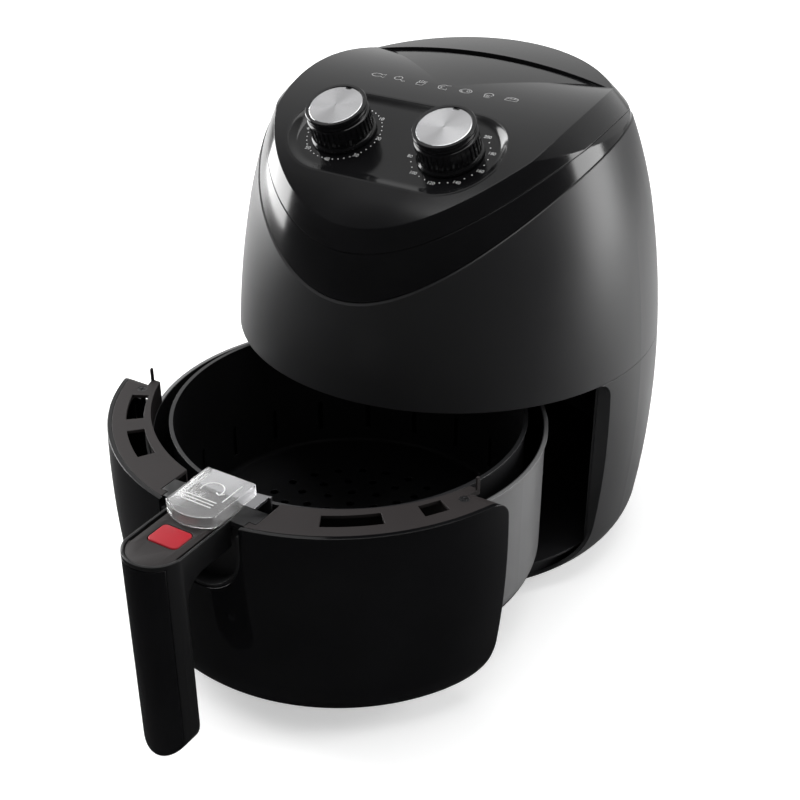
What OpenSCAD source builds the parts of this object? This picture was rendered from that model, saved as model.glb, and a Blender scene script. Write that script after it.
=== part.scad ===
// Drawer-type air fryer with an egg-shaped casing.
// Millimetres, +Z up. The origin is on the casing's axis, on the surface it stands on.
// The front, with the drawer and its handle, faces -Y. The drawer is shown pulled out.

/* [Casing] */
// Radius of the casing at its widest
belly_r = 136.4; // [130:0.2:146]
// Height of the widest point
belly_z = 112; // [100:1:125]
// Radius of the side's long upright curve
side_r = 590; // [480:10:900]
// Height where the side turns into the tighter shoulder curve
shoulder_z = 230; // [215:1:245]
// Radius of the shoulder curve
shoulder_r = 285; // [240:5:400]
// Radius of the rounded bottom edge
base_round = 34; // [26:1:40]
// Wall of the moulded casing parts
wall = 2.5; // [1.8:0.1:3]
// Height of the rubber feet
foot_h = 4; // [3:0.5:8]
// Radius of a foot
foot_r = 9; // [7:0.5:10]
// Gap left between neighbouring casing parts
seam = 0.3; // [0.2:0.05:0.6]

/* [Top] */
// Height of the glossy top's crown in front of the slit
crown_z = 301.2; // [296:0.2:306]
// Place of that crown behind the axis
crown_y = 9.8; // [4:0.2:14]
// Radius of the top's curve from front to back
crown_r = 188.4; // [175:0.2:205]
// Radius of the ball that rounds the crown off at the sides and the rear
crown_ball = 140; // [134:1:160]
// Rise of the rear hump above the crown
hump_rise = 3.6; // [2:0.2:5]
// Radius of the hump's own dome
hump_r = 480; // [420:10:600]
// Radius of the flatter dome that leads back from the crown to the slit
lead_r = 480; // [400:10:700]
// Place where that flatter dome starts, in front of the axis
lead_y = 12; // [4:1:20]
// Depth of the glossy cover's side below its edge
cover_side = 11; // [8:0.5:14]
// Height of the band's lower line at its highest point
band_z = 284; // [279:0.5:287]
// Place of that point behind the axis
band_y = 24; // [16:1:28]
// Radius of the band's lower line
band_r = 190; // [180:1:205]
// Setback of the glossy parts from the satin shell
gloss_setback = 0.6; // [0.3:0.1:1]
// Half length of the air slit
slit_half = 69; // [55:1:72]
// Width of the air slit at its middle
slit_w = 4; // [3:0.5:8]
// Place of the slit's straight front edge
slit_y = 46.5; // [40:0.5:52]

/* [Dials] */
// Tilt of the dial plane
dial_tilt = 23.6; // [20:0.1:27]
// Place of the dial plane's centre in front of the axis
dial_y = 64.2; // [60:0.2:68]
// Height of the dial plane's centre
dial_z = 281.2; // [277:0.2:283]
// Distance between the two knobs
dial_pitch = 71.2; // [68:0.2:76]
// Radius of the recess round each knob
recess_r = 33; // [30:0.5:35]
// Radius of a knob's skirt
knob_r = 19.5; // [17:0.1:21]
// Radius of a knob's top edge
knob_top_r = 18.3; // [16:0.1:20]
// Height of a knob's disc above the dial
knob_h = 20.7; // [16:0.1:24]
// Radius of the spun metal disc
disc_r = 16; // [13:0.1:17]
// Thickness of the disc
disc_t = 1; // [0.6:0.1:2]
// Gap between knob and dial
knob_gap = 0.6; // [0.3:0.1:1]
// Radius of the switch shafts
shaft_r = 3; // [2.5:0.1:4]
// Grip ribs round a knob
knob_ribs = 36; // [24:1:48]
// Full turn of the timer in degrees
timer_turn = 264; // [240:2:300]

/* [Drawer opening] */
// Height of the opening's top edge
open_top = 150; // [146:0.5:154]
// Distance of the opening's side edges in front of the axis
open_y = 34.5; // [28:0.5:40]
// Height of the bay floor
bay_floor = 27.5; // [24:0.5:28.5]
// Thickness of the bay's sheet
bay_t = 1.5; // [0.8:0.1:2]
// Clearance beside the pan
bay_gap = 3; // [2:0.1:4]
// Height of the rails that the pan slides on
rail_h = 3.5; // [2.5:0.5:5]
// Radius of the liner's skirt below the bay floor
toe_r = 119; // [112:0.5:121]
// Height of the casing's lip under the opening
lip_z = 15; // [12:0.5:15.5]
// Radius of the opening's lower corners
corner_low = 30; // [20:1:34]
// Radius of the opening's upper corners
corner_top = 10; // [6:0.5:12]

/* [Pan] */
// How far the drawer stands out at rest
draw_out = 126; // [0:1:150]
// Distance of the pan's centre behind the casing's axis when closed
pan_back = 8; // [5:0.5:9]
// Radius of the pan's rim
pan_rim_r = 118.5; // [114:0.1:120]
// Height of the pan's rim
pan_top = 127; // [122:0.2:128]
// Wall of the pan
pan_wall = 1.2; // [0.8:0.1:2]
// Width of the pan's turned-out rim
pan_lip = 1.6; // [1:0.1:3]
// Radius of the pan's bottom edge
pan_round = 16; // [10:0.5:22]

/* [Drawer front] */
// Height of the drawer front's top edge
panel_top = 141; // [138:0.2:141.4]
// Height of its bottom edge
panel_bottom = 16; // [13:0.5:20]
// Distance of its side edges in front of the casing's axis when closed
panel_y = 37; // [36:0.5:44]
// Wall of the drawer front
panel_wall = 2.5; // [2:0.1:3]
// Radius of the inner edge of the rim plate
rim_in_r = 116.1; // [113:0.1:117]
// Thickness of the rim plate
rim_t = 2; // [1.5:0.1:3]
// Inner radius of the rim plate's slots
slot_in_r = 115; // [114:0.5:116.5]
// Width of those slots
slot_w = 10; // [6:0.5:11]
// Place of the two screws in the rim plate, in degrees from the middle
screw_a = 66; // [64:0.5:66.5]
// Height of the fins at the rim plate's ends
fin_h = 8; // [5:0.5:8.4]
// Half width of the recess under the handle
recess_half = 24; // [21.5:0.5:28]
// Height of the recess's lowest point
recess_low = 98.5; // [90:0.5:104]
// Depth of the recess
recess_deep = 8; // [6:0.5:10]

/* [Basket] */
// Radius of the basket's rim
basket_r = 106.4; // [102:0.2:109]
// Height of the basket's rim
basket_top = 132.9; // [131:0.1:134]
// Height of the basket's perforated base
basket_low = 44; // [40:0.5:50]
// Wall of the basket
basket_wall_t = 1; // [0.8:0.1:1.6]
// Width of the basket's rolled rim
basket_lip = 1.4; // [1:0.1:2]
// Radius of a hole in the base
hole_r = 2.6; // [1.5:0.1:3]
// Distance between those holes
hole_pitch = 13; // [11:0.5:16]
// Slots round the basket's wall
wall_slots = 20; // [12:1:24]

/* [Handle] */
// Width of the handle
handle_w = 35.6; // [33:0.2:38]
// Distance of the handle's front from the casing's axis when closed
handle_y = 183.5; // [178:0.5:190]
// Depth of the grip from front to back
grip_d = 17; // [15:0.5:20]
// Height of the grip's lowest point
grip_low = 14; // [8:0.5:24]
// Height of the arm's underside
arm_low = 125; // [122:0.5:126]
// Radius of the inside corner between arm and grip
arm_round = 14; // [8:0.5:15]
// Depth of the glossy front cover
front_d = 7.5; // [5:0.5:9]
// Wall of the arm's sides
arm_wall = 1.4; // [1.2:0.1:1.6]
// Thickness of the arm's top cap
cap_t = 2; // [1.6:0.1:2.4]
// Half width of the bracket's cross bar
tee_half = 31; // [28:0.5:34]
// Half width of the bracket's neck
neck_half = 26.5; // [24:0.5:27.5]

/* [Button and guard] */
// Width of the release button
button_w = 19.2; // [16:0.2:21]
// Length of the release button
button_l = 15.2; // [13:0.2:17]
// Travel of the release button
button_travel = 3; // [2:0.25:3.5]
// Outer width of the clear guard
guard_w = 32.2; // [31:0.1:32.4]
// Length of the clear guard
guard_l = 41; // [36:0.5:42]
// Height of the clear guard above the arm
guard_h = 7.7; // [6:0.1:8]
// Wall of the clear guard
guard_t = 1.2; // [1:0.1:1.4]
// Travel of the clear guard
guard_travel = 27; // [20:0.5:27.5]

/* [Hidden] */

$fn = 120;
big = 400;
fit = 0.3;
side_x = belly_r - side_r;
shoulder_a = asin((shoulder_z - belly_z) / side_r);
round_z = foot_h + base_round;
round_a = asin((round_z - belly_z) / (side_r - base_round));
flat_r = side_x + (side_r - base_round) * cos(round_a);
arc_lap = 0.02;
ball_z = crown_z - 105.2;
lead_a = asin((lead_y + crown_y) / crown_r);
lead_cy = (lead_r - crown_r) * sin(lead_a) + crown_y;
lead_cz = crown_z - crown_r - (lead_r - crown_r) * cos(lead_a) - arc_lap;
hatch_r = flat_r - 7;
gland_z = foot_h + 14;
gland_r = 5.5;
gland_lip = 1.5;
top_clip = 330;
dial_x = dial_pitch / 2;
floor_t = 2;
bay_r = pan_rim_r + bay_gap;
liner_top = open_top + 1;
ceiling_t = 2;
chamber_low = liner_top + ceiling_t;
chamber_r = 111;
chamber_top = 209;
sheet = 1;
shield_gap = 4;
coil_z = 174;
tube_r = 3.2;
coil_out = 88;
coil_in = 64;
coil_gap_a = 15;
duct_half = 40;
duct_low = 170;
duct_high = 202;
motor_z = 236;
motor_r = 30;
motor_h = 32;
spindle_r = 3;
post_x = 70;
unit_r = 21;
unit_h = 36;
pan_low = bay_floor + rail_h + fit;
panel_r = radius_at(panel_top, 0);
arm_half = handle_w / 2;
groove_x = arm_half - arm_wall;
guard_half = guard_w / 2;
cap_half = guard_half - guard_t - fit;
cap_top = panel_top - 0.6;
cap_low = cap_top - cap_t;
arm_floor = arm_low + 2.4;
arm_end = 129.3;
tee_front = 125;
tee_back = 114.2;
button_y = 155.5;
front_round = arm_half + 0.3;
front_cy = handle_y - front_round;
grip_back = handle_y - grip_d;
latch_z = arm_floor + 0.6;
plate_z = cap_low - 2.6;
bracket_end = button_y - button_l / 2 - 3;
screw_z = [45, 95];
latch_t = 3.4;
latch_half = 6;
guard_front = 145;
foot_spots = [[50, -62], [-50, -62], [50, 62], [-50, 62]];

// Casing radius at height z on the long upright curve, set in by inset
function radius_at(z, inset) = side_x + sqrt(pow(side_r - inset, 2) - pow(z - belly_z, 2));

// Right half of the casing's upright section, set in by inset. Each arc overlaps the next a
// little, so the outline stays one closed line.
module egg_half(inset) {
    r1 = side_r - inset;
    z_low = belly_z + r1 * sin(round_a);
    z_high = belly_z + r1 * sin(shoulder_a);
    shift = side_r - shoulder_r;
    intersection() {
        translate([side_x, belly_z]) circle(r = r1);
        translate([0, z_low]) square([big, z_high - z_low]);
    }
    intersection() {
        translate([side_x + shift * cos(shoulder_a), belly_z + shift * sin(shoulder_a)])
            circle(r = shoulder_r - inset + arc_lap);
        translate([0, z_high - 20]) square([big, top_clip - z_high + 20]);
        union() {
            translate([0, ball_z]) circle(r = crown_ball - inset);
            translate([0, z_high - 30]) square([big, ball_z + 50 - z_high + 30]);
        }
    }
    intersection() {
        translate([flat_r, round_z]) circle(r = base_round - inset + arc_lap);
        translate([flat_r - 6, foot_h + inset]) square([base_round + 6, z_low + 6 - foot_h - inset]);
    }
    translate([0, foot_h + inset]) square([flat_r, z_low + 10 - foot_h - inset]);
}

module egg(inset = 0) {
    rotate_extrude() egg_half(inset);
}

module egg_shell(inset, thick) {
    difference() {
        egg(inset);
        egg(inset + thick);
    }
}

// Round bar along X, used to cut the long curves of the top
module bar_x(r, y, z) {
    translate([0, y, z]) rotate([0, 90, 0]) cylinder(r = r, h = 2 * big, center = true);
}

module slab(z0, z1) {
    translate([-big, -big, z0]) cube([2 * big, 2 * big, z1 - z0]);
}

module front_half(y) {
    translate([-big, -big, -big]) cube([2 * big, big - y, 2 * big]);
}

// Field of the drawer opening seen from the side: everything in front of y, between two
// heights, with its two rear corners rounded
module opening_field(y, z0, z1, r_low, r_top) {
    translate([-big, 0, 0]) rotate([90, 0, 90]) linear_extrude(height = 2 * big) difference() {
        translate([-big, z0]) square([big - y, z1 - z0]);
        difference() {
            translate([-y - r_low, z0 - 1]) square([r_low + 1, r_low + 1]);
            translate([-y - r_low, z0 + r_low]) circle(r = r_low);
        }
        difference() {
            translate([-y - r_top, z1 - r_top]) square([r_top + 1, r_top + 1]);
            translate([-y - r_top, z1 - r_top]) circle(r = r_top);
        }
    }
}

module ring_sector(r0, r1, z0, z1, a0, a1) {
    rotate([0, 0, a0]) rotate_extrude(angle = a1 - a0) translate([r0, z0]) square([r1 - r0, z1 - z0]);
}

module tube_z(r0, r1, z0, z1) {
    difference() {
        translate([0, 0, z0]) cylinder(r = r1, h = z1 - z0);
        translate([0, 0, z0 - 1]) cylinder(r = r0, h = z1 - z0 + 2);
    }
}

module disc_z(r, z0, z1) {
    translate([0, 0, z0]) cylinder(r = r, h = z1 - z0);
}

// Everything on the dial plane: x along the casing, z out of the dial
module on_dial() {
    translate([0, -dial_y, dial_z]) rotate([dial_tilt, 0, 0]) children();
}

// Everything that slides with the drawer is drawn closed and moved out here
module at_drawer() {
    translate([0, -draw_out, 0]) children();
}

module at_pan() {
    translate([0, pan_back, 0]) children();
}

// ---- Casing ----

module band_cut() {
    bar_x(band_r, band_y, band_z - band_r);
}

module groove_cut(extra = 0) {
    bar_x(crown_r + extra, crown_y, crown_z - cover_side - crown_r);
}

module outlet_window(grow) {
    translate([-duct_half - grow, 0, duct_low - grow])
        cube([2 * (duct_half + grow), big, duct_high - duct_low + 2 * grow]);
}

module upper_shell() {
    color([0.14, 0.14, 0.15]) difference() {
        intersection() {
            egg_shell(0, wall);
            band_cut();
            groove_cut();
            slab(open_top, top_clip);
        }
        outlet_window(0);
    }
}

// Wall of the lower casing in section, from the hatch in its floor up to height z
module casing_section(z) {
    intersection() {
        difference() {
            egg_half(0);
            egg_half(wall);
        }
        translate([hatch_r + fit, foot_h]) square([big, z - foot_h]);
    }
}

module lower_shell() {
    top = open_top - seam;
    color([0.14, 0.14, 0.15]) difference() {
        union() {
            rotate_extrude(angle = 180) casing_section(top);
            // Front with the rounded opening, a lip under it and a ledge for the liner's skirt
            difference() {
                rotate([0, 0, 180]) rotate_extrude(angle = 180) {
                    casing_section(top);
                    intersection() {
                        egg_half(wall / 2);
                        translate([toe_r - 6, lip_z - 2]) square([20, 2]);
                    }
                }
                opening_field(open_y, lip_z, top, corner_low, corner_top);
            }
            // Jambs that close the casing's wall at both sides of the opening
            intersection() {
                egg(wall / 2);
                slab(bay_floor, top);
                translate([-big, -open_y, 0]) cube([2 * big, wall, big]);
            }
        }
        translate([-bay_r - bay_t - fit, -open_y - 1, bay_floor - bay_t - fit])
            cube([2 * (bay_r + bay_t + fit), wall + 2, big]);
        translate([0, 0, gland_z]) rotate([-90, 0, 0]) cylinder(r = gland_r, h = big);
    }
}

module base_plate() {
    color([0.12, 0.12, 0.13]) difference() {
        union() {
            disc_z(hatch_r, foot_h, foot_h + wall);
            disc_z(hatch_r + 5, foot_h + wall, foot_h + 2 * wall);
            for (p = foot_spots)
                translate([p[0] * 0.8, p[1] * 0.8, 0]) disc_z(5, foot_h, bay_floor - bay_t);
        }
        for (p = foot_spots) {
            translate([p[0], p[1], 0]) disc_z(3.05, 0, foot_h + 2 * wall + 1);
            translate([p[0] * 0.8, p[1] * 0.8, 0]) disc_z(1.6, 0, bay_floor);
            translate([p[0] * 0.8, p[1] * 0.8, 0]) disc_z(3.6, 0, foot_h + 2.2);
        }
        for (i = [-3:3])
            translate([-22, i * 9 - 2, 0]) cube([44, 4, foot_h + 2 * wall + 1]);
    }
}

module feet() {
    color([0.05, 0.05, 0.05]) for (p = foot_spots) translate([p[0], p[1], 0]) {
        disc_z(foot_r, 0, foot_h);
        disc_z(3, foot_h, foot_h + 2 * wall);
        disc_z(4.2, foot_h + 2 * wall, foot_h + 2 * wall + 1.2);
    }
}

module base_screws() {
    color("silver") for (p = foot_spots) translate([p[0] * 0.8, p[1] * 0.8, 0]) {
        difference() {
            disc_z(3.2, foot_h + 0.3, foot_h + 2.2);
            translate([-2.2, -0.4, 0]) cube([4.4, 0.8, foot_h + 1]);
            translate([-0.4, -2.2, 0]) cube([0.8, 4.4, foot_h + 1]);
        }
        disc_z(1.55, foot_h + 2.2, foot_h + 17);
    }
}

module cap_band() {
    color([0.05, 0.05, 0.055]) difference() {
        intersection() {
            egg_shell(gloss_setback, wall);
            groove_cut();
        }
        bar_x(band_r + seam, band_y, band_z - band_r);
        slab(-1, shoulder_z - 40);
    }
}

// Solid under the glossy top, set in by inset on every side
module top_form(inset) {
    hump_y = slit_y + 12;
    rear_r = (pow(slit_half, 2) + pow(slit_w, 2)) / (2 * slit_w);
    intersection() {
        egg(gloss_setback + inset);
        slab(shoulder_z - 20, top_clip);
        union() {
            bar_x(crown_r - inset, crown_y, crown_z - crown_r);
            intersection() {
                translate([0, lead_cy, lead_cz]) sphere(r = lead_r - inset);
                translate([-big, -lead_y, 0]) cube([2 * big, lead_y + slit_y, big]);
            }
            difference() {
                translate([0, hump_y, crown_z + hump_rise - hump_r]) sphere(r = hump_r - inset);
                front_half(-(slit_y - 40 - inset));
                translate([0, slit_y + slit_w + inset - rear_r, 0]) disc_z(rear_r, 0, top_clip);
            }
        }
    }
}

module slit_opening(grow) {
    rear_r = (pow(slit_half, 2) + pow(slit_w, 2)) / (2 * slit_w);
    linear_extrude(height = top_clip) difference() {
        translate([0, slit_y + slit_w - rear_r]) circle(r = rear_r + grow);
        translate([-big, -2 * big + slit_y - grow]) square([2 * big, 2 * big]);
    }
}

module recess_outline(r) {
    for (s = [-1, 1]) translate([s * dial_x, 0]) circle(r = r);
    translate([-dial_x, -r]) square([2 * dial_x, 2 * r]);
}

module top_cover() {
    pocket_wall = 1.6;
    color([0.045, 0.045, 0.05]) difference() {
        union() {
            difference() {
                top_form(0);
                top_form(wall);
                groove_cut(seam);
            }
            intersection() {
                top_form(0.2);
                on_dial() translate([0, 0, -floor_t])
                    linear_extrude(height = 60) recess_outline(recess_r + pocket_wall);
            }
        }
        on_dial() linear_extrude(height = 60) recess_outline(recess_r);
        on_dial() for (s = [-1, 1]) translate([s * dial_x, 0, -20]) cylinder(r = shaft_r + 1, h = 40);
        intersection() {
            slit_opening(0);
            slab(crown_z - 30, top_clip);
        }
    }
}

module inlet_grille() {
    y = slit_y + slit_w;
    under = crown_z - crown_r + sqrt(pow(crown_r - wall, 2) - pow(y - crown_y, 2));
    color([0.06, 0.06, 0.065]) difference() {
        translate([-slit_half - 4, slit_y - 3, under - 3.2]) cube([2 * slit_half + 8, slit_w + 3 - fit, 3]);
        for (i = [-9:9]) translate([i * 7 - 2, slit_y - 1, 200]) cube([4, slit_w + 2, 150]);
    }
}

module outlet_grille() {
    bars = 7;
    pitch = (duct_high - duct_low) / bars;
    color([0.06, 0.06, 0.065]) difference() {
        intersection() {
            egg_shell(0.6, 2.4);
            outlet_window(-fit);
        }
        for (i = [0:bars - 1])
            translate([-duct_half + 3, 0, duct_low + (i + 0.25) * pitch]) cube([duct_half - 4.5, big, pitch / 2]);
        for (i = [0:bars - 1])
            translate([1.5, 0, duct_low + (i + 0.25) * pitch]) cube([duct_half - 4.5, big, pitch / 2]);
    }
}

module outlet_duct() {
    color([0.7, 0.7, 0.7]) difference() {
        intersection() {
            outlet_window(-1);
            egg(wall + 1);
        }
        intersection() {
            outlet_window(-1 - sheet);
            egg(0);
        }
        at_pan() disc_z(chamber_r + fit, 0, top_clip);
    }
}

module bay_plan(r) {
    translate([0, pan_back]) circle(r = r);
    translate([-r, -open_y + 0.5]) square([2 * r, pan_back + open_y - 0.5]);
}

module bay_liner() {
    color([0.3, 0.3, 0.31]) union() {
        difference() {
            intersection() {
                translate([0, 0, bay_floor - bay_t])
                    linear_extrude(height = liner_top - bay_floor + bay_t) bay_plan(bay_r + bay_t);
                egg(wall + fit);
            }
            translate([0, 0, bay_floor]) linear_extrude(height = big) bay_plan(bay_r);
            front_half(open_y - 0.5);
            translate([bay_r - 5, -22, 122]) rotate([0, 90, 0]) cylinder(r = 2.2, h = 20);
        }
        intersection() {
            union() {
                disc_z(toe_r + 5.5, bay_floor - bay_t, bay_floor);
                tube_z(toe_r - bay_t, toe_r, lip_z, bay_floor - bay_t);
            }
            front_half(open_y - 1);
        }
    }
}

module drawer_rails() {
    color([0.2, 0.2, 0.21]) for (s = [-1, 1]) {
        translate([s * 60 - 4, -95, bay_floor]) cube([8, 185, rail_h]);
        for (y = [-70, 0, 70]) translate([s * 60 - s * 8 - 4, y - 4, bay_floor]) cube([8, 8, 1.2]);
    }
}

module ceiling_plate() {
    color([0.55, 0.55, 0.56]) difference() {
        intersection() {
            egg(wall + fit);
            slab(liner_top, chamber_low);
        }
        at_pan() disc_z(chamber_r - 1, 0, big);
    }
}

// ---- Heating and air ----

module chamber() {
    top_round = 12;
    color([0.75, 0.75, 0.76]) at_pan() difference() {
        union() {
            disc_z(chamber_r, chamber_low, chamber_top - top_round);
            disc_z(chamber_r - top_round, chamber_low, chamber_top);
            intersection() {
                translate([0, 0, chamber_top - top_round]) rotate_extrude()
                    translate([chamber_r - top_round, 0]) circle(r = top_round);
                slab(chamber_low, top_clip);
            }
            disc_z(chamber_r + 5, chamber_low, chamber_low + sheet);
        }
        disc_z(chamber_r - sheet, 0, chamber_top - top_round);
        disc_z(chamber_r - top_round, 0, chamber_top - sheet);
        translate([0, 0, chamber_top - top_round]) rotate_extrude()
            translate([chamber_r - top_round, 0]) circle(r = top_round - sheet);
        disc_z(spindle_r + 2, 0, big);
        for (r = [coil_in, coil_out]) rotate([0, 0, coil_gap_a]) translate([0, -r, 0])
            disc_z(tube_r + 0.4, coil_z, big);
        translate([0, -pan_back, 0]) outlet_window(-1 - sheet);
    }
}

module heat_shield() {
    r = chamber_r + shield_gap;
    color([0.62, 0.62, 0.63]) at_pan() difference() {
        union() {
            tube_z(r, r + sheet, chamber_low + sheet + fit, chamber_top - 4);
            tube_z(r - 3, r + sheet, chamber_low + sheet + fit, chamber_low + 2 * sheet + fit);
        }
        translate([0, -pan_back, 0]) outlet_window(fit);
    }
}

module ring_arc(r, a0, a1) {
    rotate([0, 0, a0]) rotate_extrude(angle = a1 - a0) translate([r, 0]) circle(r = tube_r, $fn = 32);
}

module heating_element() {
    mid = (coil_out + coil_in) / 2;
    turn = (coil_out - coil_in) / 2;
    a0 = -90 + coil_gap_a;
    a1 = 270 - coil_gap_a;
    color([0.35, 0.3, 0.28]) at_pan() translate([0, 0, coil_z]) {
        ring_arc(coil_out, a0, a1);
        ring_arc(coil_in, a0, a1);
        rotate([0, 0, a1]) translate([mid, 0, 0]) rotate_extrude(angle = 180)
            translate([turn, 0]) circle(r = tube_r, $fn = 32);
        for (r = [coil_in, coil_out]) rotate([0, 0, a1]) translate([r, 0, 0]) sphere(r = tube_r + 0.1);
        for (r = [coil_in, coil_out]) rotate([0, 0, a0]) translate([r, 0, 0]) {
            sphere(r = tube_r);
            cylinder(r = tube_r, h = chamber_top - coil_z + 6);
            cylinder(r = 1.2, h = chamber_top - coil_z + 12);
        }
    }
}

module element_clips() {
    under = coil_z - tube_r - fit;
    color("silver") at_pan() for (a = [30, 150, 225]) rotate([0, 0, a]) {
        translate([coil_in - 8, -3, under - sheet]) cube([coil_out - coil_in + 22, 6, sheet]);
        translate([coil_out + 13, -3, under - sheet]) cube([sheet, 6, chamber_top - 2 * sheet - under - 2]);
    }
}

module heater_guard() {
    low = chamber_low + 5;
    high = low + 2.4;
    color("silver") at_pan() {
        for (r = [25, 50, 75, 100]) tube_z(r - 1.2, r + 1.2, low, high);
        for (a = [0, 60, 120]) rotate([0, 0, a])
            translate([-chamber_r + sheet + fit, -1.2, low]) cube([2 * (chamber_r - sheet - fit), 2.4, high - low]);
    }
}

module motor() {
    color([0.5, 0.5, 0.52]) at_pan() difference() {
        union() {
            disc_z(motor_r, motor_z, motor_z + motor_h);
            disc_z(10, motor_z + motor_h, motor_z + motor_h + 4);
            translate([-motor_r - 6, -9, motor_z + 8]) cube([2 * motor_r + 12, 18, 16]);
        }
        disc_z(spindle_r + 0.05, 0, big);
    }
}

module motor_bracket() {
    color("silver") at_pan() difference() {
        union() {
            translate([-post_x - 5, -12, motor_z - 2]) cube([2 * post_x + 10, 24, 2]);
            for (s = [-1, 1]) {
                translate([s * post_x - 5, -12, chamber_top]) cube([10, 24, 2]);
                translate([s * post_x - 1 + s * 4, -12, chamber_top]) cube([2, 24, motor_z - chamber_top]);
            }
        }
        disc_z(spindle_r + 3, 0, big);
    }
}

module motor_shaft() {
    color("silver") at_pan() {
        disc_z(spindle_r, chamber_top - 30, motor_z + motor_h + 8);
        disc_z(spindle_r + 2.5, chamber_top - 29, chamber_top - 24);
    }
}

module fan_wheel(r, hub_r, h, blades, plate_z) {
    translate([0, 0, plate_z]) tube_z(spindle_r, r, 0, sheet);
    tube_z(spindle_r, hub_r, 0, h);
    for (i = [0:blades - 1]) rotate([0, 0, i * 360 / blades])
        translate([hub_r + 6, -sheet / 2, 0]) rotate([0, 0, 18]) cube([r - hub_r - 12, sheet, h]);
}

module hot_air_fan() {
    color("silver") at_pan() translate([0, 0, chamber_top - 23]) fan_wheel(56, 9, 15, 10, 14);
}

module cooling_fan() {
    color([0.2, 0.2, 0.2]) at_pan() translate([0, 0, chamber_top + 8]) fan_wheel(52, 8, 12, 9, 0);
}

module sensor_bulb() {
    color([0.7, 0.45, 0.3]) at_pan() rotate([0, 0, 200]) translate([chamber_r - sheet - 2.5 - fit, 0, 0]) {
        disc_z(2.5, 165, 192);
        translate([0, 0, 165]) sphere(r = 2.5);
    }
}

// ---- Controls ----

module unit_body(w) {
    on_dial() difference() {
        union() {
            translate([0, 0, -floor_t - fit - unit_h]) cylinder(r = unit_r, h = unit_h);
            translate([-w / 2, -6, -floor_t - fit - 2]) cube([w, 12, 2]);
            translate([-6, -unit_r - 7, -floor_t - fit - unit_h]) cube([12, 8, 14]);
        }
        translate([0, 0, -floor_t - 20]) cylinder(r = shaft_r + 0.05, h = 30);
    }
}

module timer_unit() {
    color([0.75, 0.73, 0.68]) translate([-dial_x, 0, 0]) unit_body(54);
}

module thermostat_unit() {
    color([0.8, 0.8, 0.78]) translate([dial_x, 0, 0]) unit_body(50);
}

module knob_shaft(x) {
    on_dial() translate([x, 0, -floor_t - 19]) difference() {
        cylinder(r = shaft_r, h = floor_t + 19 + knob_h - 6);
        translate([1.4, -5, floor_t + 19 + 2]) cube([5, 10, 30]);
    }
}

module timer_shaft() {
    color("silver") knob_shaft(-dial_x);
}

module thermostat_shaft() {
    color("silver") knob_shaft(dial_x);
}

module knob_body(x) {
    skirt_h = 3.2;
    on_dial() translate([x, 0, 0]) difference() {
        union() {
            translate([0, 0, knob_gap]) cylinder(r = knob_r, h = skirt_h - knob_gap);
            linear_extrude(height = knob_h - 1) difference() {
                circle(r = knob_top_r + 0.4);
                for (i = [0:knob_ribs - 1]) rotate([0, 0, (i + 0.5) * 360 / knob_ribs])
                    translate([0, knob_top_r + 1]) circle(r = 1.3, $fn = 24);
            }
            translate([0, 0, knob_h - 2]) cylinder(r = knob_top_r - 0.4, h = 2.3);
        }
        translate([0, 0, knob_h - disc_t]) cylinder(r = disc_r + 0.05, h = 5);
        translate([0, 0, -1]) cylinder(r = shaft_r + 0.03, h = knob_h - 4.5);
        translate([0, 0, -1]) cylinder(r = knob_r - 1.5, h = 1 + knob_gap);
    }
}

module timer_knob() {
    color([0.05, 0.05, 0.05]) knob_body(-dial_x);
}

module temperature_knob() {
    color([0.05, 0.05, 0.05]) knob_body(dial_x);
}

module disc_body(x) {
    on_dial() translate([x, 0, knob_h - disc_t]) difference() {
        cylinder(r = disc_r, h = disc_t);
        translate([0, disc_r - 0.6, -1]) cylinder(r = 1.7, h = 5, $fn = 32);
    }
}

module timer_disc() {
    color([0.85, 0.85, 0.86]) disc_body(-dial_x);
}

module temperature_disc() {
    color([0.85, 0.85, 0.86]) disc_body(dial_x);
}

module micro_switch() {
    x = bay_r + bay_t + 0.2;
    color([0.1, 0.1, 0.1]) {
        translate([x, -28, 116]) cube([6, 20, 10]);
        translate([bay_r - 0.8, -22, 122]) rotate([0, 90, 0]) cylinder(r = 1.6, h = 3);
    }
}

module cord_gland() {
    drop = round_z - gland_z + gland_r + gland_lip;
    y = flat_r + sqrt(pow(base_round - wall, 2) - pow(drop, 2)) - fit;
    color([0.05, 0.05, 0.05]) intersection() {
        translate([0, 0, gland_z]) rotate([-90, 0, 0]) difference() {
            union() {
                cylinder(r = gland_r - 0.1, h = big);
                cylinder(r = gland_r + gland_lip, h = y);
            }
            translate([0, 0, -1]) cylinder(r = 3, h = big + 2);
        }
        difference() {
            egg(-1.5);
            front_half(-(y - 6));
        }
    }
}

module terminal_block() {
    color([0.85, 0.83, 0.75]) translate([-16, 52, foot_h + 2 * wall]) difference() {
        cube([32, 16, 12]);
        for (i = [0:2]) translate([6 + i * 10, 8, 6]) cylinder(r = 2.4, h = 10);
        for (i = [0:1]) translate([10.2 + i * 10, -1, 9]) cube([1.6, 18, 10]);
    }
}

// ---- Drawer ----

module pan_half(r, low, round_r, top) {
    translate([0, low]) square([r - round_r, top - low]);
    translate([0, low + round_r]) square([r, top - low - round_r]);
    intersection() {
        translate([r - round_r, low + round_r]) circle(r = round_r);
        translate([r - round_r, low]) square([round_r, round_r]);
    }
}

module pan() {
    r = pan_rim_r - pan_lip;
    color([0.16, 0.16, 0.17]) at_drawer() at_pan() {
        rotate_extrude() difference() {
            pan_half(r, pan_low, pan_round, pan_top);
            pan_half(r - pan_wall, pan_low + pan_wall, pan_round - pan_wall, pan_top + 1);
        }
        tube_z(r - pan_wall / 2, pan_rim_r, pan_top - 1.6, pan_top);
    }
}

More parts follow.
